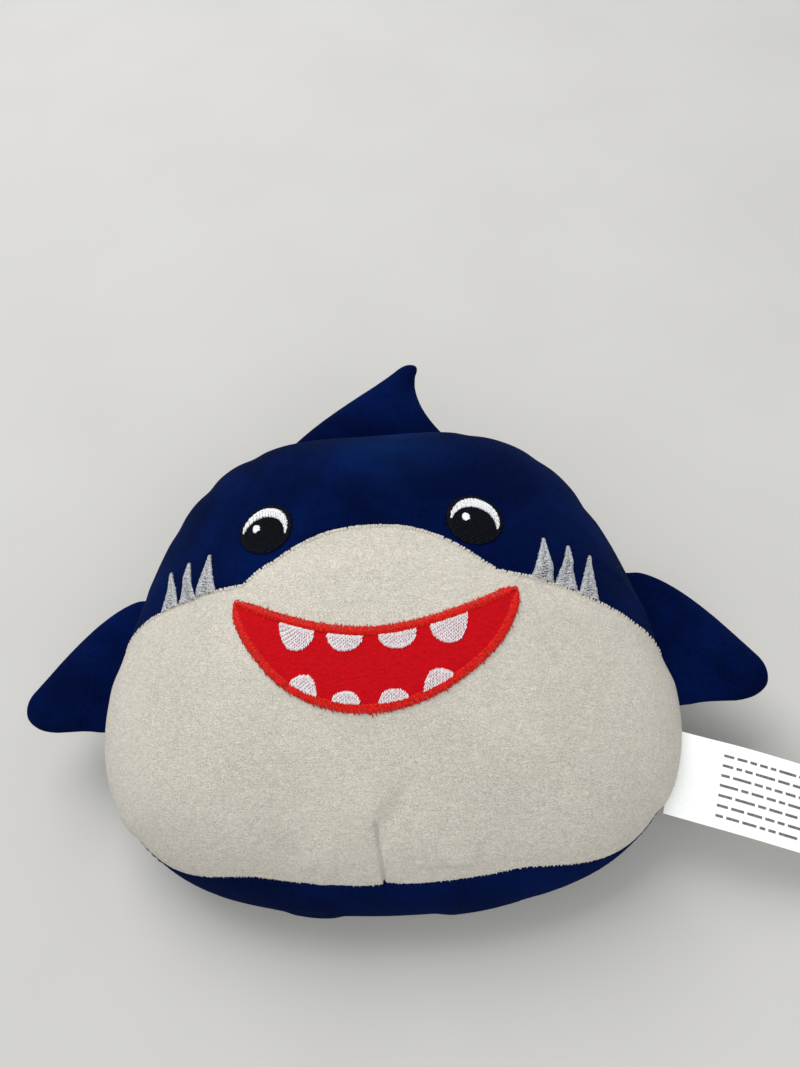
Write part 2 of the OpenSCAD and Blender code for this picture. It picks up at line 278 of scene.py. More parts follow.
def simulated_skin():
    """Puckers and seam hollows of the stuffed body, from a cloth simulation of the sewn skin."""
    t, a, _, inverse = cube_points()
    start = body_point(t, a, -2.0)
    normal = body_point(t, a, 1.0) - body_point(t, a, 0.0)
    normal /= np.linalg.norm(normal, axis=1, keepdims=True) + 1e-9
    snout, rim = seam_distance(t, a)
    shrink = np.maximum(np.exp(-(rim / 5) ** 2), 0.55 * np.exp(-(snout / 5) ** 2))
    x, y = outline(t) * np.cos(a) * np.cos(t), outline(t) * np.cos(a) * np.sin(t)
    dart = (a > 0) & (np.abs(x + 2) < 7) & (y < -80)
    shrink = np.maximum(shrink, np.where(dart, 0.9, 0))
    pins = np.where(start[:, 2] < 1.5, 1.0, 0.0)
    quads = cube_quads(inverse)
    after = simulate("sewn_skin", start, quads, pins, shrink, 0.10, 4.0, 22)
    edges = np.concatenate([quads[:, [k, (k + 1) % 4]] for k in range(4)])
    edges = np.unique(np.sort(edges, axis=1), axis=0)
    moved = ((after - start) * normal).sum(1)
    moved = soften(moved, edges, 1)
    local = moved - soften(moved, edges, 120)
    local = np.where(pins > 0, 0, local)
    local = SKIN_RELIEF * np.tanh(local / SKIN_RELIEF)
    calm = np.where(a > 0, 0.12 + 0.88 * np.exp(-(np.minimum(snout, rim) / 15) ** 2), 1.0)
    return (local * calm)[inverse]


SKIN = simulated_skin()


def hill(p, centre, radius_x, radius_y, turn=0.0):
    """Soft round hill of height 1 round a flat pattern point."""
    q = p - np.array(centre)
    c, s = math.cos(turn), math.sin(turn)
    u = (q[..., 0] * c + q[..., 1] * s) / radius_x
    v = (-q[..., 0] * s + q[..., 1] * c) / radius_y
    return np.exp(-u * u - v * v)


PUCKERS = ((126, 1.3), (140, 1.2), (152, 0.7), (62, 0.8), (44, 0.7), (28, 1.0))


def relief(t, a):
    """Height that the seams, the dart, folds and stuffing add to the smooth body."""
    r = outline(t) * np.cos(a)
    p = np.stack([r * np.cos(t), r * np.sin(t)], -1)
    snout, rim = seam_distance(t, a)
    direction = np.stack([np.cos(a) * np.cos(t), np.cos(a) * np.sin(t), np.sin(a)], -1)
    height = sample_cube(SKIN, direction)
    height -= 0.45 * np.exp(-(snout / 5) ** 2)
    height -= 0.2 * np.exp(-(rim / 0.9) ** 2) + 0.5 * np.exp(-(rim / 6) ** 2)
    low = p[..., 1]
    dart_line = -2.4 + 0.9 * smooth((-low - 80) / 16)
    along_dart = smooth((-low - 79) / 4)
    beside = p[..., 0] - dart_line
    dart = -1.5 * np.exp(-(beside / 0.5) ** 2) * along_dart
    dart += -0.4 * np.exp(-(beside / 5) ** 2) * along_dart
    step = -0.8 * smooth((beside + 0.5) / 1.0) * np.exp(-np.maximum(beside, 0) / 9) * smooth((-low - 74) / 8)
    valley = -1.5 * hill(p, (4.0, -78), 3.4, 9, math.radians(-36))
    shoulder = 0.7 * hill(p, (-7, -80), 7, 11) + 0.5 * hill(p, (14, -82), 7, 11, math.radians(-30))
    cheeks = 0.9 * hill(p, (-94, -4), 14, 12) + 0.5 * hill(p, (94, -14), 16, 14)
    brow = -0.6 * hill(p, (0, 42), 30, 10)
    height += np.where(a > seam_turn(t) - 0.002, dart + step, 0)
    height += np.where(a > 0, valley + shoulder + cheeks + brow, 0)
    for bearing, depth in PUCKERS:
        away = (np.degrees(t) - bearing + 540) % 360 - 180
        height -= depth * np.exp(-(away / 3.2) ** 2 - ((a - 0.25) / 0.35) ** 2)
    return height


def skin(t, a, d):
    """Point of the stuffed skin, offset d outwards."""
    return body_point(t, a, d + relief(t, a))


def polar(p):
    p = np.asarray(p, float)
    t = np.arctan2(p[..., 1], p[..., 0])
    return t, np.arccos(np.minimum(np.linalg.norm(p, axis=-1) / outline(t), 1))


def face(p, d):
    """Point of the face above flat pattern point p."""
    t, a = polar(p)
    return skin(t, a, d)


def face_up(p):
    """Outward direction of the face at flat pattern points."""
    t, a = polar(p)
    up = body_point(t, a, 1.0) - body_point(t, a, 0.0)
    return up / np.linalg.norm(up, axis=-1, keepdims=True)


# ---- meshes ----
def new_object(name, points, faces, material):
    """Smooth-shaded mesh from points in millimetres."""
    mesh = bpy.data.meshes.new(name)
    mesh.from_pydata(np.asarray(points, float).reshape(-1, 3) * MM, [], faces)
    mesh.validate()
    mesh.materials.append(material)
    mesh.polygons.foreach_set("use_smooth", [True] * len(mesh.polygons))
    mesh.update()
    obj = bpy.data.objects.new(name, mesh)
    bpy.context.scene.collection.objects.link(obj)
    return obj


def grid_faces(rows, cols, base=0, close=False, flip=False):
    i, j = np.meshgrid(np.arange(rows - 1), np.arange(cols if close else cols - 1), indexing="ij")
    k = (j + 1) % cols
    quads = np.stack([i * cols + j, i * cols + k, (i + 1) * cols + k, (i + 1) * cols + j], -1).reshape(-1, 4)
    quads = quads[:, ::-1] if flip else quads
    return (quads + base).tolist()


def shell_object(name, outer, inner, material, flip=False):
    """Closed skin of two grids joined round their rims; outer's faces look out."""
    rows, cols = outer.shape[:2]
    n = rows * cols
    index = np.arange(n).reshape(rows, cols)
    rim = np.concatenate([index[0, :-1], index[:-1, -1], index[-1, :0:-1], index[:0:-1, 0]])
    after = np.roll(rim, -1)
    walls = np.stack([rim, rim + n, after + n, after], -1)
    walls = walls[:, ::-1] if flip else walls
    faces = grid_faces(rows, cols, 0, False, flip) + grid_faces(rows, cols, n, False, not flip)
    return new_object(name, np.concatenate([outer.reshape(-1, 3), inner.reshape(-1, 3)]),
                      faces + walls.tolist(), material)


def refine(grid, times):
    """Grid of points made finer along both directions, through the same points."""
    for axis in (0, 1):
        grid = np.moveaxis(grid, axis, 0)
        n = len(grid)
        at = np.linspace(0, n - 1, (n - 1) * times + 1)
        i = np.minimum(at.astype(int), n - 2)
        w = cubic_weights(at - i)
        padded = np.concatenate([2 * grid[:1] - grid[1:2], grid, 2 * grid[-1:] - grid[-2:-1]])
        grid = sum(w[:, m].reshape(-1, 1, 1) * padded[i + m] for m in range(4))
        grid = np.moveaxis(grid, 0, axis)
    return grid


class Strands:
    """Many short threads of the same number of points, gathered in one mesh."""

    SIDES = 6

    def __init__(self):
        self.points = []
        self.faces = []
        self.count = 0

    def add(self, paths, radii, ups, flatness=0.8):
        """Tubes along paths (k, n, 3), pressed a little flat along ups (k, 3)."""
        k, n = paths.shape[:2]
        tangent = np.gradient(paths, axis=1)
        tangent /= np.linalg.norm(tangent, axis=2, keepdims=True) + 1e-9
        side = np.cross(tangent, ups[:, None, :])
        side /= np.linalg.norm(side, axis=2, keepdims=True) + 1e-9
        top = np.cross(side, tangent)
        angle = np.arange(self.SIDES) * 2 * math.pi / self.SIDES
        ring = (np.cos(angle)[:, None] * side[:, :, None, :]
                + flatness * np.sin(angle)[:, None] * top[:, :, None, :])
        points = paths[:, :, None, :] + np.broadcast_to(radii, (k, n))[:, :, None, None] * ring
        self.points.append(points.reshape(-1, 3))
        one = np.array(grid_faces(n, self.SIDES, 0, close=True))
        base = self.count + np.arange(k) * n * self.SIDES
        self.faces += (one[None] + base[:, None, None]).reshape(-1, 4).tolist()
        cap = np.arange(self.SIDES)
        self.faces += (cap[None, ::-1] + base[:, None]).tolist()
        self.faces += (cap[None] + base[:, None] + (n - 1) * self.SIDES).tolist()
        self.count += k * n * self.SIDES

    def build(self, name, material):
        return new_object(name, np.concatenate(self.points), [f[::-1] for f in self.faces], material)


# ---- materials ----
def shader(name, color, roughness, sheen=0.0, sheen_tint=(1, 1, 1), sheen_roughness=0.4,
           specular=0.3):
    mat = bpy.data.materials.new(name)
    mat.use_nodes = True
    bsdf = mat.node_tree.nodes["Principled BSDF"]
    bsdf.inputs["Base Color"].default_value = (*color, 1)
    bsdf.inputs["Roughness"].default_value = roughness
    bsdf.inputs["Specular IOR Level"].default_value = specular
    bsdf.inputs["Sheen Weight"].default_value = sheen
    bsdf.inputs["Sheen Tint"].default_value = (*sheen_tint, 1)
    bsdf.inputs["Sheen Roughness"].default_value = sheen_roughness
    return mat, mat.node_tree, bsdf


def place(tree, scale=(1, 1, 1), turn=(0, 0, 0)):
    """Object coordinates in millimetres, scaled and turned."""
    coord = tree.nodes.new("ShaderNodeTexCoord")
    mapping = tree.nodes.new("ShaderNodeMapping")
    mapping.inputs["Scale"].default_value = tuple(s / MM for s in scale)
    mapping.inputs["Rotation"].default_value = tuple(math.radians(v) for v in turn)
    tree.links.new(coord.outputs["Object"], mapping.inputs["Vector"])
    return mapping.outputs["Vector"]


def noise(tree, vector, scale, detail=2.0, rough=0.5, distortion=0.0):
    node = tree.nodes.new("ShaderNodeTexNoise")
    node.inputs["Scale"].default_value = scale
    node.inputs["Detail"].default_value = detail
    node.inputs["Roughness"].default_value = rough
    node.inputs["Distortion"].default_value = distortion
    tree.links.new(vector, node.inputs["Vector"])
    return node.outputs["Fac"]


def ramp(tree, value, stops):
    node = tree.nodes.new("ShaderNodeValToRGB")
    while len(node.color_ramp.elements) < len(stops):
        node.color_ramp.elements.new(0.5)
    for element, (at, color) in zip(node.color_ramp.elements, stops):
        element.position = at
        element.color = (*color, 1)
    tree.links.new(value, node.inputs["Fac"])
    return node.outputs["Color"]


def blend_colors(tree, a, b, factor, mode="MIX"):
    node = tree.nodes.new("ShaderNodeMix")
    node.data_type = "RGBA"
    node.blend_type = mode
    for socket, value in ((6, a), (7, b), (0, factor)):
        if hasattr(value, "is_output"):
            tree.links.new(value, node.inputs[socket])
        elif socket == 0:
            node.inputs[0].default_value = value
        else:
            node.inputs[socket].default_value = (*value, 1)
    return node.outputs[2]


def math_node(tree, operation, a, b=0.0):
    node = tree.nodes.new("ShaderNodeMath")
    node.operation = operation
    for socket, value in ((0, a), (1, b)):
        if hasattr(value, "is_output"):
            tree.links.new(value, node.inputs[socket])
        else:
            node.inputs[socket].default_value = value
    return node.outputs[0]


def bump_node(tree, bsdf, height, strength, distance_mm):
    node = tree.nodes.new("ShaderNodeBump")
    node.inputs["Strength"].default_value = strength
    node.inputs["Distance"].default_value = distance_mm * MM
    tree.links.new(height, node.inputs["Height"])
    tree.links.new(node.outputs["Normal"], bsdf.inputs["Normal"])


def grey(v):
    return (v, v, v)


def near(tree, point_mm, radius_mm):
    """1 at a place on the object, falling to 0 at radius."""
    coord = tree.nodes.new("ShaderNodeTexCoord")
    gap = tree.nodes.new("ShaderNodeVectorMath")
    gap.operation = "DISTANCE"
    tree.links.new(coord.outputs["Object"], gap.inputs[0])
    gap.inputs[1].default_value = tuple(v * MM for v in point_mm)
    node = tree.nodes.new("ShaderNodeMapRange")
    node.interpolation_type = "SMOOTHSTEP"
    tree.links.new(gap.outputs["Value"], node.inputs["Value"])
    node.inputs["From Min"].default_value = radius_mm * MM
    node.inputs["From Max"].default_value = 0.0
    return node.outputs["Result"]


def velour_material(name, dark, light, sheen, tint, grain, brushed, specular, painted_sheen=None):
    """Short pile: fine curly grain, knit rows under it, areas brushed the other way, and where given a
    painted sheen: a lighter patch added round one point.
    """
    mat, tree, bsdf = shader(name, light, 0.95, sheen, tint, 0.35, specular)
    pile = noise(tree, place(tree, (1, 1, 0.8)), 1.0, 1.2, 0.5, 2.6)
    fluff = noise(tree, place(tree), 3.0, 2.0, 0.6)
    nap = noise(tree, place(tree, turn=(20, 0, 25)), 0.020, 3.0, 0.55, 0.5)
    rows = noise(tree, place(tree, (0.22, 1.9, 1), (0, 0, 4)), 1.0, 2.0, 0.5)
    base = ramp(tree, pile, [(0.34, dark), (0.56, light)])
    low, high = brushed
    brush = ramp(tree, nap, [(0.40, grey(low)), (0.60, grey(high))])
    base = blend_colors(tree, base, brush, 1.0, "MULTIPLY")
    knit = ramp(tree, rows, [(0.35, grey(0.86)), (0.65, grey(1.0))])
    base = blend_colors(tree, base, knit, 0.6, "MULTIPLY")
    # Painted sheen: lighter streaks added round one point, partly nap brushed the other way and partly
    # painted highlight.
    if painted_sheen:
        where, radius, lift = painted_sheen
        sheen_streaks = math_node(tree, "MULTIPLY", near(tree, where, radius), nap)
        base = blend_colors(tree, base, lift, sheen_streaks, "ADD")
    tree.links.new(base, bsdf.inputs["Base Color"])
    height = math_node(tree, "ADD", pile, math_node(tree, "MULTIPLY", fluff, 0.5))
    height = math_node(tree, "ADD", height, math_node(tree, "MULTIPLY", rows, 0.35))
    bump_node(tree, bsdf, height, grain, 0.5)
    return mat


def thread_material(name, dark, light, roughness=0.38, sheen=0.2, specular=0.5):
    """Rayon thread: a soft gloss, with a slow drift of tone from strand to strand."""
    mat, tree, bsdf = shader(name, light, roughness, sheen, (1, 1, 1), 0.3, specular)
    tone = noise(tree, place(tree), 1.9, 2.0, 0.6)
    tree.links.new(ramp(tree, tone, [(0.35, dark), (0.62, light)]), bsdf.inputs["Base Color"])
    twist = noise(tree, place(tree, turn=(0, 0, 35)), 6.0, 1.0)
    bump_node(tree, bsdf, twist, 0.25, 0.06)
    return mat


def ribbon_material(name):
    """White satin ribbon: a fine warp, slightly uneven."""
    mat, tree, bsdf = shader(name, (0.86, 0.86, 0.84), 0.42, 0.15, (1, 1, 1), 0.3, 0.4)
    weave = noise(tree, place(tree, (0.6, 5.0, 1), (0, 0, -18)), 1.0, 1.0)
    cloud = noise(tree, place(tree), 0.07, 2.0)
    tone = blend_colors(tree, ramp(tree, weave, [(0.3, (0.80, 0.80, 0.77)), (0.7, (0.92, 0.92, 0.89))]),
                        ramp(tree, cloud, [(0.3, (0.86, 0.86, 0.84)), (0.7, (0.92, 0.92, 0.90))]), 0.5)
    tree.links.new(tone, bsdf.inputs["Base Color"])
    bump_node(tree, bsdf, weave, 0.3, 0.05)
    return mat


def cloth_material(name, dark, light):
    """Red applique fabric: close short knit with a faint row structure."""
    mat, tree, bsdf = shader(name, light, 0.9, 0.08, (1, 0.3, 0.25), 0.4, 0.08)
    rows = noise(tree, place(tree, (0.5, 2.6, 1)), 1.0, 2.0)
    pile = noise(tree, place(tree), 1.9, 3.0, 0.6, 1.0)
    mixed = blend_colors(tree, ramp(tree, rows, [(0.35, dark), (0.65, light)]),
                         ramp(tree, pile, [(0.38, dark), (0.62, light)]), 0.5)
    tree.links.new(mixed, bsdf.inputs["Base Color"])
    bump_node(tree, bsdf, math_node(tree, "ADD", rows, pile), 0.5, 0.25)
    return mat


def filling_material(name):
    """Loose polyester fibre: soft white lumps with fine crossing hairs."""
    mat, tree, bsdf = shader(name, (0.85, 0.85, 0.83), 0.9, 0.3, (1, 1, 1), 0.5, 0.1)
    lumps = noise(tree, place(tree), 0.12, 3.0)
    hairs = noise(tree, place(tree, (0.4, 2.5, 1), (30, 20, 50)), 1.0, 3.0, 0.7, 2.0)
    tone = blend_colors(tree, ramp(tree, lumps, [(0.3, grey(0.68)), (0.7, grey(0.88))]),
                        ramp(tree, hairs, [(0.3, grey(0.7)), (0.7, grey(0.9))]), 0.5)
    tree.links.new(tone, bsdf.inputs["Base Color"])
    bump_node(tree, bsdf, math_node(tree, "ADD", lumps, hairs), 0.6, 1.0)
    return mat


def backing_material(name):
    """Non-woven backing: short fibres pressed flat in every direction."""
    mat, tree, bsdf = shader(name, grey(0.8), 0.85, 0.05, (1, 1, 1), 0.5, 0.15)
    fibres = noise(tree, place(tree, (0.8, 1.6, 1), (0, 0, 40)), 1.2, 4.0, 0.7, 2.5)
    tree.links.new(ramp(tree, fibres, [(0.35, grey(0.68)), (0.62, grey(0.84))]), bsdf.inputs["Base Color"])
    bump_node(tree, bsdf, fibres, 0.4, 0.1)
    return mat


def ink_material(name):
    """Grey label print, a little worn."""
    mat, tree, bsdf = shader(name, grey(0.12), 0.7, specular=0.2)
    worn = noise(tree, place(tree), 1.4, 3.0)
    tree.links.new(ramp(tree, worn, [(0.35, grey(0.09)), (0.7, grey(0.2))]), bsdf.inputs["Base Color"])
    return mat


# Painted sheen on the navy brow: a lighter blue patch where light catches the nap, partly nap brushed the
# other way.
BROW_SHEEN = tuple(body_point(np.array(math.radians(82)), np.array(math.radians(42)), np.array(0.0)))
NAVY = velour_material("navy_velour", (0.0003, 0.0030, 0.027), (0.0008, 0.0064, 0.054), 0.028,
                       (0.25, 0.5, 1.0), 0.8, (0.66, 1.2), 0.02, (BROW_SHEEN, 38, (0.001, 0.012, 0.042)))
GREY = velour_material("grey_velour", (0.475, 0.435, 0.365), (0.665, 0.615, 0.53), 0.14, (0.86, 0.93, 1.0),
                       0.9, (0.97, 1.03), 0.10)
RED = cloth_material("red_fabric", (0.34, 0.0012, 0.004), (0.56, 0.0025, 0.008))
STITCH_RED = thread_material("red_embroidery", (0.38, 0.001, 0.001), (0.80, 0.016, 0.008), 0.45, 0.0, 0.14)
WHITE = thread_material("white_embroidery", (0.72, 0.72, 0.73), (0.93, 0.93, 0.93), 0.4, 0.05, 0.4)
BLACK = thread_material("black_embroidery", (0.0010, 0.0013, 0.0030), (0.0045, 0.0050, 0.0085),
                        0.6, 0.0, 0.07)
SILVER = thread_material("silver_embroidery", (0.15, 0.155, 0.16), (0.58, 0.58, 0.585), 0.33, 0.1, 0.6)
RIBBON = ribbon_material("white_ribbon")
INK = ink_material("label_ink")
FILLING = filling_material("polyester_fill")
BACKING = backing_material("embroidery_backing")
NAVY_THREAD = thread_material("navy_thread", (0.001, 0.006, 0.035), (0.003, 0.014, 0.075))
GREY_THREAD = thread_material("grey_thread", (0.30, 0.28, 0.24), (0.46, 0.43, 0.38))


# ---- body panels ----
def face_panel(name, material, near_edge, far_edge, rows, flip):
    v = np.sin(np.linspace(0, math.pi / 2, rows))[:, None, None]
    t, a = polar(near_edge[None] * (1 - v) + far_edge[None] * v)
    return shell_object(name, skin(t, a, 0.0), skin(t, a, -VELOUR), material, flip)


def seam_end(side):
    """Bearing where the snout seam meets the perimeter on one side."""
    t = np.radians(np.linspace(-12, 8, 400))
    t = math.pi - t if side < 0 else t
    p = seam_plan(t)
    return t[np.argmin(np.abs(p[:, 1] - snout_line(p[:, 0])))]


RIGHT_END, LEFT_END = seam_end(1), seam_end(-1)


def front_panels():
    """Forehead and belly panels; their columns are closest at the middle, where the dart is."""
    cols = 340
    ends = seam_plan(np.array([LEFT_END, RIGHT_END]))[:, 0]
    side = np.linspace(-1, 1, cols)
    along = 0.5 + 0.25 * (side + side ** 3)
    x = ends[0] + (ends[1] - ends[0]) * along
    seam = np.stack([x, snout_line(x)], -1)
    start = LEFT_END - 2 * math.pi
    t = start + (RIGHT_END - start) * along
    belly = face_panel("belly_velour", GREY, seam, seam_plan(t), 136, True)
    t = LEFT_END + (RIGHT_END - LEFT_END) * along
    forehead = face_panel("forehead_velour", NAVY, seam, seam_plan(t), 100, False)
    return forehead, belly


def back_panel():
    """Back in one piece; its square grid is rounded into the perimeter."""
    side = np.linspace(-1, 1, 184)
    v, u = np.meshgrid(side, side, indexing="ij")
    qx, qy = u * np.sqrt(1 - v * v / 2), v * np.sqrt(1 - u * u / 2)
    t = np.arctan2(qy, qx)
    a = np.hypot(qx, qy) * (math.pi / 2 + seam_turn(t)) - math.pi / 2
    return shell_object("back_velour", skin(t, a, 0.0), skin(t, a, -VELOUR), NAVY, flip=True)


def tufts(name, material, t, a, across_t, across_a, reach, width, seed, spread=0.16):
    """Tufts of pile that lean over a seam: flattened drops of uneven length."""
    rng = np.random.default_rng(seed)
    n = len(t)
    length = reach * rng.uniform(0.75, 1.2, n)
    lean = rng.normal(0, spread, n) * reach / 90
    root = skin(t - across_t * 1.3, a - across_a * 1.3, -0.5)
    mid = skin(t, a, 0.12)
    end = skin(t + across_t * 0.75 * length + lean / 2, a + across_a * 0.75 * length, 0.12)
    tip = skin(t + across_t * length + lean, a + across_a * length, -0.1)
    up = body_point(t, a, 1.0) - body_point(t, a, 0.0)
    strands = Strands()
    radii = np.array([0.9, 1.0, 0.85, 0.35])[None] * (width * rng.uniform(0.8, 1.25, n))[:, None]
    strands.add(np.stack([root, mid, end, tip], 1), radii, up, 0.5)
    piece = strands.build(name, material)
    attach(piece, "body")
    return piece


def pile_edges():
    """Pile that leans over the seams where grey meets navy."""
    rng = np.random.default_rng(5)
    ends = seam_plan(np.array([LEFT_END, RIGHT_END]))[:, 0]
    x = np.arange(ends[0] + 0.4, ends[1] - 0.4, 0.95)
    x = x + rng.normal(0, 0.15, len(x))
    slope = snout_line(x + 0.5) - snout_line(x - 0.5)
    out = np.stack([-slope, np.ones_like(slope)], -1) / np.sqrt(1 + slope ** 2)[:, None]
    seam = np.stack([x, snout_line(x)], -1)
    here, there = polar(seam), polar(seam + out * 0.5)
    across_t = (there[0] - here[0]) * 2
    across_t = np.where(np.abs(across_t) > 1, 0, across_t)
    tufts("snout_seam_pile", GREY, here[0], here[1], across_t, (there[1] - here[1]) * 2, 0.75, 0.62, 12)
    t = np.arange(LEFT_END - 2 * math.pi, RIGHT_END, 0.0105)
    t = t + rng.normal(0, 0.0015, len(t))
    tufts("belly_seam_pile", NAVY, t, seam_turn(t), np.zeros_like(t), np.full_like(t, 1 / 70), 0.85, 0.58, 31)


def running_stitches(name, material, t, a, sink, node):
    """Sewing thread at the bottom of a seam: one stitch after another."""
    length = len(t) // 6 * 6
    t, a = t[:length].reshape(-1, 6), a[:length].reshape(-1, 6)
    arch = np.sin(np.linspace(0, math.pi, 6))
    paths = skin(t, a, sink + 0.35 * arch[None])
    up = body_point(t[:, 3], a[:, 3], 1.0) - body_point(t[:, 3], a[:, 3], 0.0)
    strands = Strands()
    strands.add(paths, 0.2, up, 1.0)
    piece = strands.build(name, material)
    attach(piece, "body")
    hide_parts(node)


def seam_threads():
    """Threads of the seams that stay down between the panels, and the hand-closed opening."""
    x = np.arange(-98, 98, 0.5)
    t, a = polar(np.stack([x, snout_line(x)], -1))
    running_stitches("snout_seam_stitches", NAVY_THREAD, t, a, -1.1, "snout_seam_thread")
    t = np.arange(math.radians(-132), math.radians(-48), 0.005)
    running_stitches("belly_seam_stitches", NAVY_THREAD, t, seam_turn(t), -1.1, "belly_seam_thread")
    y = np.arange(-95, -80, 0.4)
    t, a = polar(np.stack([-2.4 + 0.9 * smooth((-y - 80) / 16), y], -1))
    running_stitches("belly_dart_stitches", GREY_THREAD, t, a, -0.6, "belly_dart_thread")
    t = np.arange(math.radians(200), math.radians(224), 0.005)
    running_stitches("side_closing_stitches", NAVY_THREAD, t, seam_turn(t), 0.1, "side_closing_thread")


def filling():
    """Lumpy fibre filling under the panels."""
    t, a, d, inverse = cube_points()
    lumps = 0.5 * np.sin(d[:, 0] * 23 + 2 * np.sin(d[:, 1] * 17)) * np.sin(d[:, 2] * 19 + d[:, 0] * 7)
    points = body_point(t, a, -6.5 + lumps)
    piece = new_object("body_filling", points, cube_quads(inverse).tolist(), FILLING)
    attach(piece, "body")
    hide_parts("body_fill")


# ---- embroidery ----
def stitch(strands, a, b, height, radius, rise=0.3, n=6, sink=0.35):
    """Stitches over the face from flat points a to b: each rises, runs flat and dips at its ends."""
    f = np.linspace(0, 1, n)[None, :, None]
    plan = a[:, None] * (1 - f) + b[:, None] * f
    arch = np.sin(math.pi * np.linspace(0, 1, n)) ** 0.45
    lift = np.asarray(height).reshape(-1, 1) - sink * (1 - arch) + rise * arch
    up = face_up((a + b) / 2)
    strands.add(face(plan, 0.0) + lift[..., None] * up[:, None], np.asarray(radius).reshape(-1, 1), up)


def finish_stitches(strands, name, material, nodes):
    piece = strands.build(name, material)
    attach(piece, "body")
    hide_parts(*nodes)


def mouth_top(x, inset):
    """Height of the mouth's upper line in the flat pattern."""
    return -21.4 + 15.4 * (np.abs(x) / MOUTH_HALF) ** 1.9 - inset


def mouth_bottom(x, inset):
    """Height of the mouth's lower line in the flat pattern."""
    f = np.minimum(np.abs(x) / (MOUTH_HALF + CORNER), 1)
    return 20.7 - MOUTH_DROP - (MOUTH_DROP + 12.7 - inset) * (1 - f * f) ** 0.6


def grin(p):
    """The grin's slight lopsidedness: its left end is shorter, and its lower lip hangs to the left."""
    x, y = p[..., 0], p[..., 1]
    shorter = np.where(x < 0, x * 0.95, x)
    hang = -1.5 * smooth((-y - 26) / 16)
    return np.stack([shorter + hang, y], -1)


def mouth_patch():
    """Red fabric inside the mouth, swollen a little between its edges."""
    cols, rows = 170, 60
    inset = BORDER_WIDTH / 2
    x = (MOUTH_HALF - 0.3) * -np.cos(np.linspace(0, math.pi, cols))
    top = np.stack([x, mouth_top(x, inset)], -1)
    low = np.stack([x, np.minimum(mouth_bottom(x, inset), mouth_top(x, inset) - 0.4)], -1)
    v = np.linspace(0, 1, rows)[:, None, None]
    plan = grin(top[None] * (1 - v) + low[None] * v)
    edge = np.minimum(v[..., 0], 1 - v[..., 0])
    swell = 0.25 + 0.45 * np.sqrt(np.clip(edge * 6, 0, 1))
    piece = shell_object("mouth_red_fabric", face(plan, swell), face(plan, 0.02), RED, flip=True)
    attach(piece, "body")
    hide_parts("mouth_patch")


def resample(path, step):
    """Points at even steps along a flat path."""
    seg = np.linalg.norm(np.diff(path, axis=0), axis=1)
    s = np.concatenate([[0], np.cumsum(seg)])
    at = np.linspace(0, s[-1], int(round(s[-1] / step)))
    return np.stack([np.interp(at, s, path[:, k]) for k in range(2)], -1)


def mouth_border():
    """Satin stitch round the mouth: upper lip and lower lip, drawn to a point at the corners."""
    x = (MOUTH_HALF + CORNER) * -np.cos(np.linspace(0, math.pi, 500))
    half = BORDER_WIDTH / 2
    strands = Strands()
    rng = np.random.default_rng(3)
    low = np.minimum(mouth_bottom(x, half), mouth_top(x, half))
    for line, sign in ((mouth_top(x, half), 1), (low, -1)):
        path = resample(grin(np.stack([x, line], -1)), BORDER_PITCH)
        tangent = np.gradient(path, axis=0)
        tangent /= np.linalg.norm(tangent, axis=1, keepdims=True)
        normal = np.stack([-tangent[:, 1], tangent[:, 0]], -1) * sign
        n = len(path)
        ends = np.minimum(np.arange(n), np.arange(n)[::-1]) * BORDER_PITCH
        wide = half * (0.35 + 0.65 * smooth(ends / 6))
        ragged = np.abs(rng.normal(0, 0.32, n)) * (rng.uniform(0, 1, n) < 0.6)
        out = (wide + 0.1 + ragged)[:, None]
        inside = (wide + rng.normal(0, 0.1, n))[:, None]
        slant = 0.3 * tangent + rng.normal(0, 0.10, (n, 1)) * tangent
        heights = 0.62 + rng.uniform(-0.1, 0.1, n)
        radii = 0.175 + rng.uniform(-0.025, 0.025, n)
        stitch(strands, path - normal * inside - slant, path + normal * out + slant, heights, radii,
               rise=0.5, n=8, sink=0.8)
    finish_stitches(strands, "mouth_satin_border", STITCH_RED, ["mouth_border"])


def fill_stitch(name, inside, centre, reach, material, height, nodes, pitch=0.42, length=3.2, turn=0.0,
                seed=1, radius=0.24, ragged=0.1, rise=0.18, warp=None):
    """Rows of fill stitch, turned by turn, kept where inside(points) is true."""
    rng = np.random.default_rng(seed)
    c, s = math.cos(turn), math.sin(turn)
    spin = np.array([[c, -s], [s, c]])
    fine = np.arange(-reach, reach, 0.1)
    starts, ends = [], []
    for r, v in enumerate(np.arange(-reach, reach, pitch)):
        keep = inside(centre + np.stack([fine, np.full_like(fine, v)], -1) @ spin.T)
        turns = np.flatnonzero(np.diff(np.concatenate([[0], keep.astype(int), [0]])))
        for first, last in zip(turns[::2], turns[1::2]):
            a, b = fine[first], fine[last - 1]
            if b - a < 0.35:
                continue
            cuts = [a - abs(rng.normal(0, ragged))]
            at = a + (r * 1.37 + rng.uniform(-0.3, 0.3)) % length
            while at < b - 0.7:
                if at - cuts[-1] > 0.7:
                    cuts.append(at)
                at += length
            cuts.append(b + abs(rng.normal(0, ragged)))
            for u0, u1 in zip(cuts[:-1], cuts[1:]):
                wander = rng.normal(0, 0.04)
                starts.append(centre + np.array([u0 - 0.08, v + wander]) @ spin.T)
                ends.append(centre + np.array([u1 + 0.08, v - wander]) @ spin.T)
    strands = Strands()
    a, b = np.array(starts), np.array(ends)
    if warp:
        a, b = warp(a), warp(b)
    radii = radius * rng.uniform(0.88, 1.1, len(a))
    stitch(strands, a, b, np.full(len(a), height), radii, rise=rise, n=6, sink=0.3)
    finish_stitches(strands, name, material, nodes)


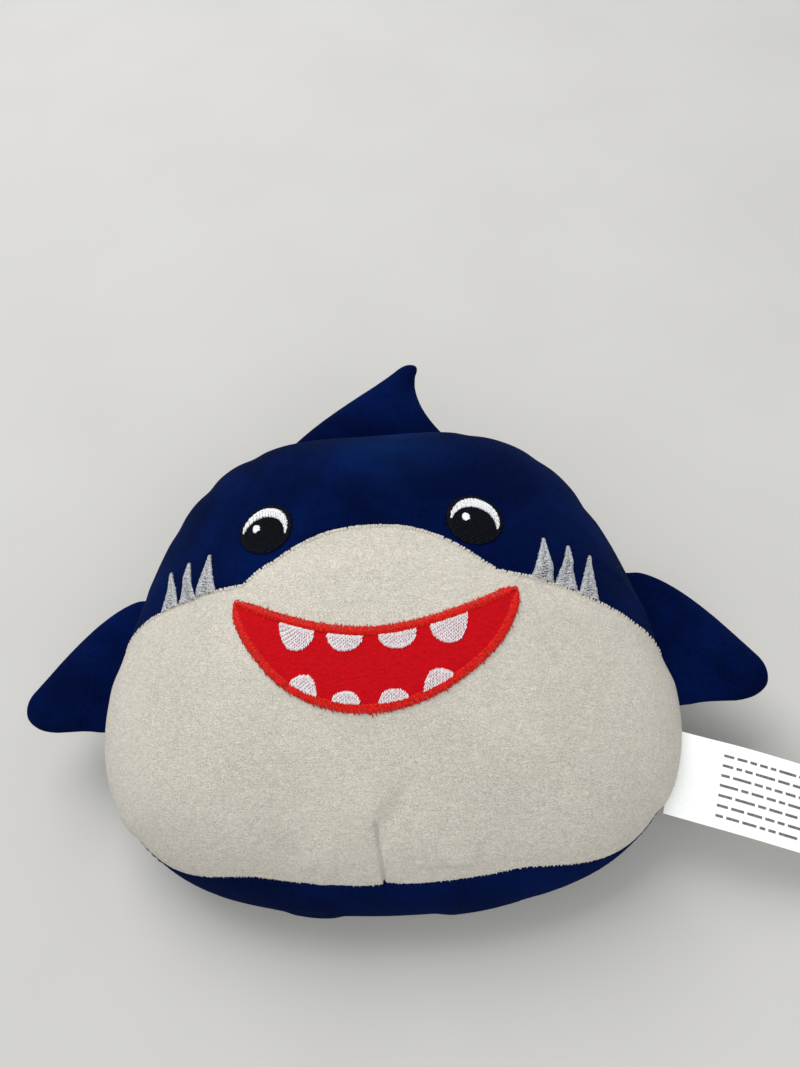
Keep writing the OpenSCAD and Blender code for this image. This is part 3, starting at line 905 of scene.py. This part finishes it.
def teeth():
    """Four upper and four lower teeth, each a half oval that hangs from its lip."""
    rows = (("upper_tooth", (-27.6, -9.5, 9.5, 27.6), (-27.6, -28.9, -28.9, -27.6), 6.7, True),
            ("lower_tooth", (-24.3, -8.5, 8.5, 24.3), (-35.8, -41.7, -41.7, -35.8), 5.2, False))
    for name, xs, tips, half, upper in rows:
        for k, (x0, tip) in enumerate(zip(xs, tips)):
            lip = mouth_top if upper else mouth_bottom
            sign = 1 if upper else -1

            def inside(p, x0=x0, tip=tip, half=half, lip=lip, sign=sign):
                u = (p[:, 0] - x0) / half
                root = lip(p[:, 0], BORDER_WIDTH - 0.5)
                edge = root + (tip - root) * np.sqrt(np.clip(1 - np.abs(u) ** 2.3, 0, 1))
                return (np.abs(u) < 1) & ((root - p[:, 1]) * sign > 0) & ((p[:, 1] - edge) * sign > 0)
            node = f"{name}_{k + 1}"
            centre = np.array([x0, tip + 5 * sign])
            fill_stitch(f"{node}_stitches", inside, centre, 12, WHITE, 0.85, (node,), pitch=0.46,
                        length=2.2, rise=0.3, turn=math.radians(62), seed=20 + k + 4 * upper,
                        radius=0.165, ragged=0.16, warp=grin)


def centre_of(node):
    """Flat pattern point under the middle of a node on the face."""
    low, high = box_mm(node)
    x, y, z = (low + high) / 2
    up, along = y - BODY_OFFSET, z - SEAM_HEIGHT
    plan_y = up * COS_R + along * SIN_R
    height = -up * SIN_R + along * COS_R
    return np.array([x, plan_y - FACE_LEAN * height / FRONT_SWELL])


def eye(name):
    """Black disc with a white crescent over its top and a highlight."""
    raised = np.array([0, 1.2 if name == "left" else -0.3])
    centre = centre_of(f"{name}_eye_black") + raised
    glint_at = centre_of(f"{name}_eye_glint") + raised
    reach = EYE_RADIUS - 1.3

    def disc(p):
        return np.linalg.norm(p - centre, axis=1) < EYE_RADIUS

    def crescent(p):
        q = p - centre
        r, angle = np.hypot(q[:, 0], q[:, 1]), np.degrees(np.arctan2(q[:, 1], q[:, 0]))
        turn = (182 - angle) % 360
        inner = reach - 0.5 - 3.3 * np.sin(np.pi * np.clip(turn / 206, 0, 1)) ** 0.9
        return (turn < 206) & (r < reach) & (r > inner)

    def glint(p):
        q = p - glint_at
        return (q[:, 0] / 1.35) ** 2 + (q[:, 1] / 1.5) ** 2 < 1

    fill_stitch(f"{name}_eye_black_stitches", disc, centre, 12, BLACK, 0.42, (f"{name}_eye_black",),
                pitch=0.40, length=2.6, seed=4, ragged=0.28, radius=0.25)
    fill_stitch(f"{name}_eye_white_stitches", crescent, centre, 12, WHITE, 0.82, (f"{name}_eye_white",),
                pitch=0.36, length=4.2, turn=math.radians(75), seed=5, ragged=0.1, radius=0.18)
    fill_stitch(f"{name}_eye_glint_stitches", glint, glint_at, 3, WHITE, 0.85, (f"{name}_eye_glint",),
                pitch=0.36, length=9.0, turn=math.radians(30), seed=6, ragged=0.12)


GILL_TIP = ((64.5, 14.8), (73.8, 14.9), (82.5, 14.6))
GILL_INNER = (58.9, 68.4, 77.3)
GILL_OUTER = (67.6, 76.3, 84.2)


def gills(side, name):
    """Three spikes of satin stitch that stand on the snout seam."""
    for k in range(3):
        tip = np.array(GILL_TIP[k]) - (2.2 if side < 0 else 0.0, 0)
        rng = np.random.default_rng(50 + k)
        rows = 38
        f = np.linspace(0, 0.985, rows)
        inner, outer = GILL_INNER[k] - 0.4, GILL_OUTER[k] + 0.4
        x_in = inner + (tip[0] - 0.2 - inner) * f ** 0.92
        x_out = outer + (tip[0] + 0.2 - outer) * f ** 0.92
        foot = snout_line(side * (GILL_INNER[k] + GILL_OUTER[k]) / 2)
        y = foot + (tip[1] + 0.5 * (foot + 3) - foot) * f
        x_in = side * (x_in - np.abs(rng.normal(0, 0.12, rows)))
        x_out = side * (x_out + np.abs(rng.normal(0, 0.12, rows)))
        left, right = [np.stack([x, np.maximum(y + rng.normal(0, 0.05, rows), snout_line(x) + 0.3)], -1)
                       for x in (x_in, x_out)]
        middle = left + (right - left) * rng.uniform(0.35, 0.65, (rows, 1))
        strands = Strands()
        heights = np.full(rows, 0.45)
        stitch(strands, left, middle, heights, 0.25, rise=0.28, n=6, sink=0.4)
        stitch(strands, middle, right, heights, 0.25, rise=0.28, n=6, sink=0.4)
        node = f"{name}_gill_{k + 1}"
        finish_stitches(strands, f"{node}_stitches", SILVER, [node])


# ---- fins ----
SIDE_LEAD = ((103.6, 27.5), (118, 27.5), (146, 0), (154.3, -17))
SIDE_TRAIL = ((117.2, -30.5), (129, -23.5), (151, -37), (154.3, -17))
TOP_LEAD = ((-52, 84), (-36, 106), (-2, 127), (17.5, 138))
TOP_TRAIL = ((41, 86.5), (16, 108), (17, 126), (17.5, 138))


def bezier(p, f):
    p = np.array(p, float)
    f = np.asarray(f)[..., None]
    g = 1 - f
    return g ** 3 * p[0] + 3 * g * g * f * p[1] + 3 * g * f * f * p[2] + f ** 3 * p[3]


def fin_grid(lead, trail, face_sign, rows=34, cols=22):
    """Half of a fin in the seam plane's coordinates: rows from inside the body out to the round tip."""
    f = np.linspace(0, 1, rows)[:, None] * np.ones((1, cols))
    w = ((1 - np.cos(np.linspace(0, math.pi, cols))) / 2)[None, :] * np.ones((rows, 1))
    f = np.sin(f * math.pi / 2)
    s = 0.975 * f
    middle = (bezier(lead, s) + bezier(trail, s)) / 2
    half = (bezier(trail, s) - bezier(lead, s)) / 2
    long = np.linalg.norm(half, axis=-1, keepdims=True)
    half *= np.sqrt(long ** 2 + (TIP_RADIUS * f[..., None]) ** 2) / long
    taper = np.sqrt(np.clip(1 - np.clip((f - 0.91) / 0.09, 0, 1) ** 2, 0.0, 1))
    plan = middle + half * (2 * w - 1)[..., None] * (0.15 + 0.85 * taper)[..., None]
    t = np.arctan2(plan[..., 1], plan[..., 0])
    sunk = 3.0 * (1 - smooth(f / 0.12))
    plan = plan - np.stack([np.cos(t), np.sin(t)], -1) * sunk[..., None]
    profile = np.sqrt(np.clip(1 - (2 * w - 1) ** 2, 0, 1))
    thick = FIN_THICKNESS / 2 * (0.35 + 0.65 * smooth(f / 0.4)) * (1 - 0.42 * f) * profile * taper
    return np.concatenate([plan, (face_sign * thick)[..., None]], -1)


def fin_halves(lead, trail, side, body):
    """Front and back grids of a fin, swollen together as one sewn pad."""
    front, back = fin_grid(lead, trail, 1), fin_grid(lead, trail, -1)
    rows, cols = front.shape[:2]
    n = rows * cols
    grids = np.stack([lay(front), lay(back)])
    grids[..., 0] *= side
    keys = np.round(grids.reshape(-1, 3) * 200).astype(int)
    _, first, inverse = np.unique(keys, axis=0, return_index=True, return_inverse=True)
    inverse = inverse.ravel()
    points = grids.reshape(-1, 3)[first]
    quads = []
    for base, flip in ((0, side < 0), (n, side > 0)):
        quads += grid_faces(rows, cols, base, False, flip)
    quads = inverse[np.array(quads)]
    quads = quads[[len(set(q)) == 4 for q in quads.tolist()]]
    f = np.repeat(np.linspace(0, 1, rows), cols)
    w = np.tile(np.linspace(0, 1, cols), rows)
    pins = np.concatenate([f < 0.12] * 2)[first].astype(float)
    edge = np.minimum(np.minimum(w, 1 - w) * cols, (1 - f) * rows)
    shrink = np.concatenate([np.exp(-(edge / 1.2) ** 2)] * 2)[first]
    after = simulate(f"{body}_pad", points, quads, pins, shrink, 0.12, 3.0, 16, bending=0.3)
    moved = after - points
    far = np.linalg.norm(moved, axis=1, keepdims=True)
    moved *= np.minimum(1, 1.8 / np.maximum(far, 1e-6))
    moved *= np.concatenate([smooth((f - 0.1) / 0.5)] * 2)[first][:, None]
    return (points + moved)[inverse].reshape(grids.shape)


def fins():
    """Three fins, each a sewn pad of two velour halves round a filling."""
    specs = (("dorsal_fin", TOP_LEAD, TOP_TRAIL, 1), ("left_fin", SIDE_LEAD, SIDE_TRAIL, -1),
             ("right_fin", SIDE_LEAD, SIDE_TRAIL, 1))
    for body, lead, trail, side in specs:
        hinge = np.array(joint(f"{body}_flap")["pos_m"], float)
        mid = (bezier(lead, 0.35) + bezier(trail, 0.35)) / 2
        along = lay(np.array([side * mid[0], mid[1], 0.0])) * MM - hinge
        along /= np.linalg.norm(along)
        halves = fin_halves(lead, trail, side, body)
        middle = halves.mean(0)
        for k, suffix in ((0, "front"), (1, "back")):
            outer = refine(halves[k], 3)
            inward = refine(middle, 3) - outer
            depth = np.linalg.norm(inward, axis=-1, keepdims=True)
            inner = outer + inward * np.minimum(0.45, VELOUR / np.maximum(depth, 0.5))
            piece = shell_object(f"{body}_{suffix}_velour", outer, inner, NAVY, flip=(k == 1) != (side < 0))
            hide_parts(f"{body}_{suffix}")
            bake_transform(piece)
        filling_grid = middle + (halves - middle) * 0.55
        front, back = filling_grid[:, 6:-6, 5:-5]
        pad = shell_object(f"{body}_filling", front, back, FILLING, flip=side < 0)
        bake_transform(pad)
        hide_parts(f"{body}_fill")


# ---- care label ----
def label_bend(s):
    """Height of the ribbon's middle at s from its seam: a slight wave and a droop."""
    droop = 6.5 * (np.maximum(s, 0) / LABEL_LENGTH) ** 2
    return 1.1 * np.sin(s / 12.0) * smooth(s / 20) - droop


def care_label():
    """Ribbon folded in two, its cut ends in the seam."""
    spec = joint("care_label_flap")
    hinge = np.array(spec["pos_m"], float) / MM
    axis = np.array(spec["axis"], float)
    up = np.array([0, -SIN_R, COS_R])
    out = np.cross(up, axis)
    half = LABEL_HALF_GAP
    s = np.linspace(-LABEL_HELD, LABEL_LENGTH, 90)
    turn = np.linspace(-math.pi / 2, math.pi / 2, 11)[1:-1]
    run = np.concatenate([s, LABEL_LENGTH + half * np.cos(turn), s[::-1]])
    rise = np.concatenate([label_bend(s) + half, label_bend(LABEL_LENGTH) - half * np.sin(turn),
                           label_bend(s[::-1]) - half])
    across = np.linspace(-LABEL_WIDTH / 2, LABEL_WIDTH / 2, 24)
    cup = 0.5 * (across / (LABEL_WIDTH / 2)) ** 2
    grid = (hinge + run[:, None, None] * out + across[None, :, None] * axis
            + (rise[:, None] + cup[None] * smooth(run / 25)[:, None])[..., None] * up)
    ribbon = new_object("care_label_ribbon", grid, grid_faces(*grid.shape[:2]), RIBBON)
    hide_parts("care_label")
    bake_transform(ribbon)
    bars = label_bars(hinge, out, axis, up)
    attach(bars, "care_label")


def label_bars(hinge, out, axis, up):
    """Generic grey bars in lines, in place of printing."""
    rng = np.random.default_rng(11)
    points, faces = [], []
    for line in range(7):
        v = LABEL_WIDTH / 2 - 4.6 - line * 3.75
        s = 13.5
        while s < LABEL_LENGTH - 9:
            stop = min(s + rng.uniform(2.0, 7.5), LABEL_LENGTH - 6)
            base = len(points)
            for a in np.linspace(s, stop, 5):
                for b in (v - 0.5, v + 0.5):
                    cup = 0.5 * (b / (LABEL_WIDTH / 2)) ** 2 * smooth(a / 25)
                    height = LABEL_HALF_GAP + 0.06 + label_bend(a) + cup
                    points.append(hinge + out * a + axis * b + up * height)
            faces += grid_faces(5, 2, base)
            s = stop + 1.2
    return new_object("care_label_bars", points, faces, INK)


def backings():
    """Non-woven patches behind the mouth and the eyes, under the velour."""
    x = MOUTH_HALF * 0.96 * -np.cos(np.linspace(0.25, math.pi - 0.25, 60))
    patches = [("mouth_backing", np.stack([x, mouth_top(x, -3)], -1), np.stack([x, mouth_bottom(x, -3)], -1))]
    t = np.linspace(math.radians(176), math.radians(4), 36)
    for side in ("left", "right"):
        centre = centre_of(f"{side}_eye_black")
        ring = (EYE_RADIUS + 3) * np.stack([np.cos(t), np.sin(t)], -1)
        patches.append((f"{side}_eye_backing", centre + ring, centre + ring * (1, -1)))
    v = np.linspace(0, 1, 24)[:, None, None]
    for node, top, low in patches:
        plan = top[None] * (1 - v) + low[None] * v
        outer, inner = face(plan, -VELOUR - 0.2), face(plan, -VELOUR - 0.6)
        piece = shell_object(f"{node}_cloth", outer, inner, BACKING, True)
        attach(piece, "body")
        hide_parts(node)


# ---- studio ----
def floor_material():
    mat, tree, bsdf = shader("pale_floor", (0.50, 0.485, 0.46), 0.95, specular=0.1)
    cloud = noise(tree, place(tree), 0.01, 2.0)
    tree.links.new(ramp(tree, cloud, [(0.3, (0.49, 0.475, 0.45)), (0.7, (0.51, 0.495, 0.47))]),
                   bsdf.inputs["Base Color"])
    return mat


LIGHTS = (("window", (-0.45, 0.9, 1.5), 26, 1.3), ("fill", (0.3, -0.95, 1.2), 9.5, 1.4))


def studio():
    """Pale floor, an even sky and two soft lights."""
    reach = 3000
    corners = [(-reach, -reach, 0), (reach, -reach, 0), (reach, reach, 0), (-reach, reach, 0)]
    new_object("studio_floor", corners, [(0, 1, 2, 3)], floor_material())
    world = bpy.data.worlds.new("studio_world")
    world.use_nodes = True
    background = world.node_tree.nodes["Background"]
    background.inputs["Color"].default_value = (0.90, 0.95, 1.0, 1)
    background.inputs["Strength"].default_value = 0.58
    bpy.context.scene.world = world
    for name, at, power, size in LIGHTS:
        data = bpy.data.lights.new(name, "AREA")
        data.energy = power
        data.size = size
        lamp = bpy.data.objects.new(name, data)
        lamp.location = at
        dx, dy, dz = np.array([0, 0.03, 0.05]) - np.array(at)
        lamp.rotation_euler = (math.atan2(math.hypot(dx, dy), -dz), 0, math.atan2(dy, dx) - math.pi / 2)
        bpy.context.scene.collection.objects.link(lamp)
    bpy.context.scene.view_settings.view_transform = "Standard"


def camera():
    """Camera at the photograph's angle, fitted to the outline and the face."""
    data = bpy.data.cameras.new("camera")
    data.sensor_width = 36
    data.lens = 27.03
    cam = bpy.data.objects.new("camera", data)
    cam.location = (0.0310, -0.1049, 0.3499)
    cam.rotation_euler = Euler([math.radians(v) for v in (32.24, 5.08, -1.04)])
    bpy.context.scene.collection.objects.link(cam)
    bpy.context.scene.camera = cam


camera()
studio()
forehead, belly = front_panels()
for piece, node in ((forehead, "forehead_panel"), (belly, "belly_panel"), (back_panel(), "back_panel")):
    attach(piece, "body")
    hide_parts(node)
pile_edges()
seam_threads()
filling()
backings()
mouth_patch()
mouth_border()
teeth()
eye("right")
eye("left")
gills(1, "right")
gills(-1, "left")
fins()
care_label()
